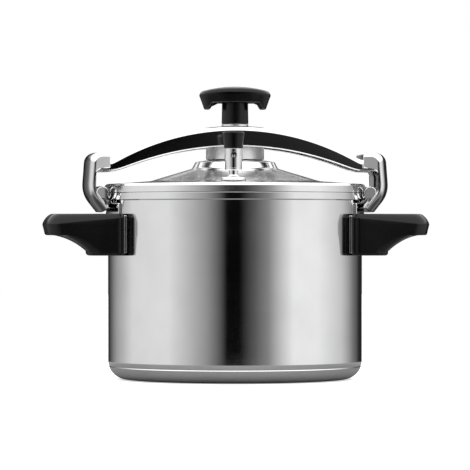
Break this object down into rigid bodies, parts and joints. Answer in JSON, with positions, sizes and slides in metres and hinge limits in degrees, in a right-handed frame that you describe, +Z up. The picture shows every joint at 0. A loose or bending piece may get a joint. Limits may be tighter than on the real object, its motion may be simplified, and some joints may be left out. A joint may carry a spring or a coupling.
{
  "type": "stovetop pressure cooker",
  "caption": "Straight-sided steel pressure cooker whose lid is clamped by an arched bridge, hooked under side ears and tightened by a top knob.",
  "frame": {"origin": "middle of the flat base, on the surface the cooker stands on", "axes": "+Z up, +X towards the right handle, -Y towards the side with the steam valve"},
  "size_m": [0.3364, 0.228, 0.2554],
  "materials": {
    "polished_steel": "bright polished stainless steel",
    "turned_steel": "fine turned steel",
    "base_aluminium": "plain rolled plate",
    "black_moulding": "black phenolic moulding, satin",
    "seal_rubber": "moulded seal rubber",
    "turned_brass": "turned brass"
  },
  "bodies": {
    "pot": {"pot_shell": "polished_steel", "base_core": "base_aluminium", "base_capsule": "polished_steel", "ear_left": "polished_steel", "ear_right": "polished_steel", "handle_left": "black_moulding", "handle_right": "black_moulding", "handle_studs": "turned_steel", "handle_screws": "turned_steel"},
    "lid": {"lid_shell": "polished_steel", "lid_gasket": "seal_rubber", "steam_duct": "turned_steel", "duct_nut": "turned_steel", "duct_strainer": "turned_steel", "safety_body": "turned_steel", "safety_cap": "turned_steel", "safety_nut": "turned_steel", "safety_spring": "turned_steel"},
    "safety": {"safety_plunger": "turned_brass"},
    "bridge": {"bridge_arch": "polished_steel", "jaw_left": "polished_steel", "jaw_right": "polished_steel", "jaw_rivets": "turned_steel", "screw_bush": "turned_steel", "bridge_washer": "turned_steel"},
    "foot": {"pressure_foot": "polished_steel"},
    "screw": {"spindle": "turned_steel", "spindle_clip": "turned_steel", "knob": "black_moulding", "knob_insert": "turned_brass"},
    "needle": {"valve_needle": "turned_steel"},
    "valve": {"valve_weight": "polished_steel", "valve_cap": "black_moulding"}
  },
  "joints": [
    {"name": "lid_turn", "type": "hinge", "parent": "pot", "child": "lid", "pos_m": [0, 0, 0.1625], "axis": [0, 0, 1], "continuous": true},
    {"name": "bridge_swing", "type": "hinge", "parent": "lid", "child": "bridge", "pos_m": [0, 0, 0.2], "axis": [0, 0, 1], "range_deg": [-50, 50]},
    {"name": "foot_rise", "type": "slide", "parent": "bridge", "child": "foot", "axis": [0, 0, 1], "range_m": [0, 0.006]},
    {"name": "knob_turn", "type": "hinge", "parent": "foot", "child": "screw", "pos_m": [0, 0, 0.22], "axis": [0, 0, 1], "range_deg": [0, 720]},
    {"name": "valve_lift", "type": "slide", "parent": "lid", "child": "needle", "axis": [0, 0, 1], "range_m": [0, 0.003]},
    {"name": "valve_spin", "type": "hinge", "parent": "needle", "child": "valve", "pos_m": [-0.00523, -0.07482, 0.19], "axis": [0, 0, 1], "continuous": true},
    {"name": "safety_lift", "type": "slide", "parent": "lid", "child": "safety", "axis": [0, 0, 1], "range_m": [0, 0.002], "stiffness_N_per_m": 500, "springref_m": -0.003, "deforming": ["safety_spring"]}
  ],
  "couplings": [
    {"joint": "foot_rise", "follows": "knob_turn", "m_per_rad": 0.00047746}
  ]
}
